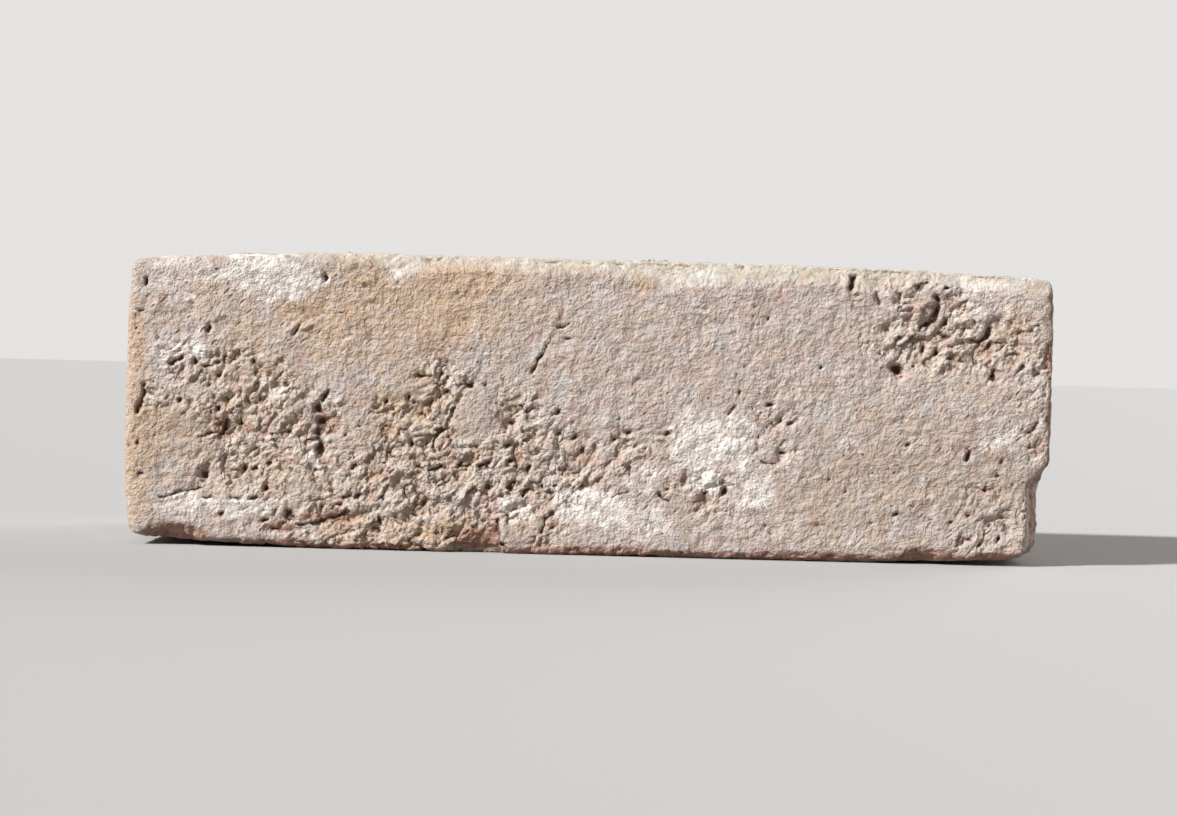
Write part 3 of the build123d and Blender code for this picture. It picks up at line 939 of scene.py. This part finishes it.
    # The nicks dent the bump, and painted shade lays the valley colour into them
    nick = nodes.times(nodes.span(nodes.nicks(2.1, 2.4), 0.1, 0.21, 1, 0), nicked)
    colour = nodes.blend(nodes.span(nick, 0.25, 0.8, 0, 0.8), colour, opaque(clay.valley))
    height = nodes.minus(height, nodes.times(nick, 0.5))
    bump = nodes.add("ShaderNodeBump", Strength=1, Distance=MM, Height=height)

    # Painted shade on the upper arris, and the duller patches' own darker tone
    colour = nodes.blend(nodes.span(shaded_and_grimy, 0, 1, 0, 0.9), colour, opaque(clay.shade_and_grime), "MULTIPLY")

    shader = nodes.add("ShaderNodeBsdfPrincipled", Base_Color=colour, Normal=bump.outputs[0])
    shader.inputs["Roughness"].default_value = clay.roughness
    shader.inputs["Specular IOR Level"].default_value = 0.5
    output = nodes.add("ShaderNodeOutputMaterial")
    nodes.join(shader.outputs[0], output.inputs["Surface"])
    return nodes.material


def aim(thing, place, target):
    """Put a camera or a lamp at a place, looking at a target."""
    look = (Vector(target) - Vector(place)).to_track_quat("-Z", "Y")
    thing.matrix_world = Matrix.LocRotScale(Vector(place), look, None)


def seen_by_camera(tree):
    """An output that is 1 where the camera looks, straight or by a glossy or clear surface."""
    path = tree.nodes.new("ShaderNodeLightPath")
    share = path.outputs["Is Camera Ray"]
    for name in ("Is Glossy Ray", "Is Transmission Ray"):
        either = tree.nodes.new("ShaderNodeMath")
        either.operation = "MAXIMUM"
        tree.links.new(share, either.inputs[0])
        tree.links.new(path.outputs[name], either.inputs[1])
        share = either.outputs[0]
    return share


def add_floor(stage):
    """A round pale floor."""
    body = bmesh.new()
    bmesh.ops.create_circle(body, cap_ends=True, radius=FLOOR_RADIUS, segments=96)
    mesh = bpy.data.meshes.new("studio_floor")
    body.to_mesh(mesh)
    body.free()
    floor = bpy.data.objects.new("studio_floor", mesh)
    bpy.context.scene.collection.objects.link(floor)
    material = bpy.data.materials.new("floor_paint")
    material.use_nodes = True
    tree = material.node_tree
    shader = tree.nodes["Principled BSDF"]
    shader.inputs["Roughness"].default_value = 0.9
    mix = tree.nodes.new("ShaderNodeMix")
    mix.data_type = "RGBA"
    mix.inputs[6].default_value = opaque(stage.floor_bounce)
    mix.inputs[7].default_value = opaque(stage.floor)
    tree.links.new(seen_by_camera(tree), mix.inputs[0])
    tree.links.new(mix.outputs[2], shader.inputs["Base Color"])
    mesh.materials.append(material)


def add_sun(name, strength, softness, direction):
    """A lamp far away in a direction from the brick."""
    lamp = bpy.data.lights.new(name, "SUN")
    lamp.energy = strength
    lamp.angle = softness
    thing = bpy.data.objects.new(name, lamp)
    bpy.context.scene.collection.objects.link(thing)
    aim(thing, direction, (0, 0, 0))


def add_sky(stage):
    """Even light from all round, with a pale backdrop where the camera sees it."""
    world = bpy.data.worlds.new("studio_sky")
    world.use_nodes = True
    bpy.context.scene.world = world
    tree = world.node_tree
    tree.nodes.clear()
    light = tree.nodes.new("ShaderNodeBackground")
    light.inputs["Color"].default_value = opaque(stage.sky)
    light.inputs["Strength"].default_value = stage.sky_strength
    seen = tree.nodes.new("ShaderNodeBackground")
    seen.inputs["Color"].default_value = opaque(stage.backdrop)
    mix = tree.nodes.new("ShaderNodeMixShader")
    output = tree.nodes.new("ShaderNodeOutputWorld")
    tree.links.new(seen_by_camera(tree), mix.inputs[0])
    tree.links.new(light.outputs[0], mix.inputs[1])
    tree.links.new(seen.outputs[0], mix.inputs[2])
    tree.links.new(mix.outputs[0], output.inputs["Surface"])


def add_camera(stage):
    """A camera that looks straight at the stretcher face, as the photograph was taken."""
    lens = bpy.data.cameras.new("photo_camera")
    lens.lens = stage.lens
    lens.clip_start = 0.01
    camera = bpy.data.objects.new("photo_camera", lens)
    bpy.context.scene.collection.objects.link(camera)
    middle = (BRICK_LOW + BRICK_HIGH) / 2
    face_middle = Vector((middle.x, BRICK_LOW.y, middle.z))
    back = Vector((0, -math.cos(stage.elevation), math.sin(stage.elevation)))
    aim(camera, face_middle + back * stage.distance, face_middle)
    camera.matrix_world @= Matrix.Rotation(stage.roll, 4, "Z")
    bpy.context.scene.camera = camera


class MESH_OT_add_fired_brick(bpy.types.Operator):
    """Build the worn, fired brick over its CAD body"""

    bl_idname = "mesh.add_fired_brick"
    bl_label = "Add Fired Brick"

    def execute(self, context):
        shape = context.scene.brick_shape
        piece = copy_cad_body("clay_brick")
        remesh(piece, shape.grid)
        carve_brick(piece, shape)
        thin_out(piece, shape.triangles)
        piece.data.materials.clear()
        piece.data.materials.append(clay_material(context.scene.brick_clay))
        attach(piece, "root")
        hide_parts("clay_brick")
        return {"FINISHED"}


class SCENE_OT_add_brick_stage(bpy.types.Operator):
    """Add the floor, the lamps, the sky and the camera"""

    bl_idname = "scene.add_brick_stage"
    bl_label = "Add Stage"

    def execute(self, context):
        stage = context.scene.brick_stage
        context.scene.view_settings.view_transform = "Standard"
        add_floor(stage)
        add_sun("key_lamp", stage.key_strength, stage.key_softness, KEY_DIRECTION)
        add_sun("rear_lamp", stage.rear_strength, REAR_SOFTNESS, REAR_DIRECTION)
        add_sky(stage)
        add_camera(stage)
        return {"FINISHED"}


class VIEW3D_PT_clay_brick(bpy.types.Panel):
    """Lists the brick's settings and the steps that build it"""

    bl_label = "Clay Brick"
    bl_space_type = "VIEW_3D"
    bl_region_type = "UI"
    bl_category = "Clay Brick"

    def draw(self, context):
        layout = self.layout
        for name in ("brick_shape", "brick_clay", "brick_stage"):
            settings = getattr(context.scene, name)
            box = layout.box()
            for setting in settings.bl_rna.properties:
                if setting.identifier not in ("rna_type", "name"):
                    box.prop(settings, setting.identifier)
        layout.operator(MESH_OT_add_fired_brick.bl_idname)
        layout.operator(SCENE_OT_add_brick_stage.bl_idname)


CLASSES = (
    BrickShape,
    BrickClay,
    BrickStage,
    MESH_OT_add_fired_brick,
    SCENE_OT_add_brick_stage,
    VIEW3D_PT_clay_brick,
)


def register():
    for item in CLASSES:
        bpy.utils.register_class(item)
    bpy.types.Scene.brick_shape = PointerProperty(type=BrickShape)
    bpy.types.Scene.brick_clay = PointerProperty(type=BrickClay)
    bpy.types.Scene.brick_stage = PointerProperty(type=BrickStage)


def unregister():
    del bpy.types.Scene.brick_stage
    del bpy.types.Scene.brick_clay
    del bpy.types.Scene.brick_shape
    for item in reversed(CLASSES):
        bpy.utils.unregister_class(item)


def main():
    register()
    bpy.ops.mesh.add_fired_brick()
    bpy.ops.scene.add_brick_stage()


if __name__ == "__main__":
    main()
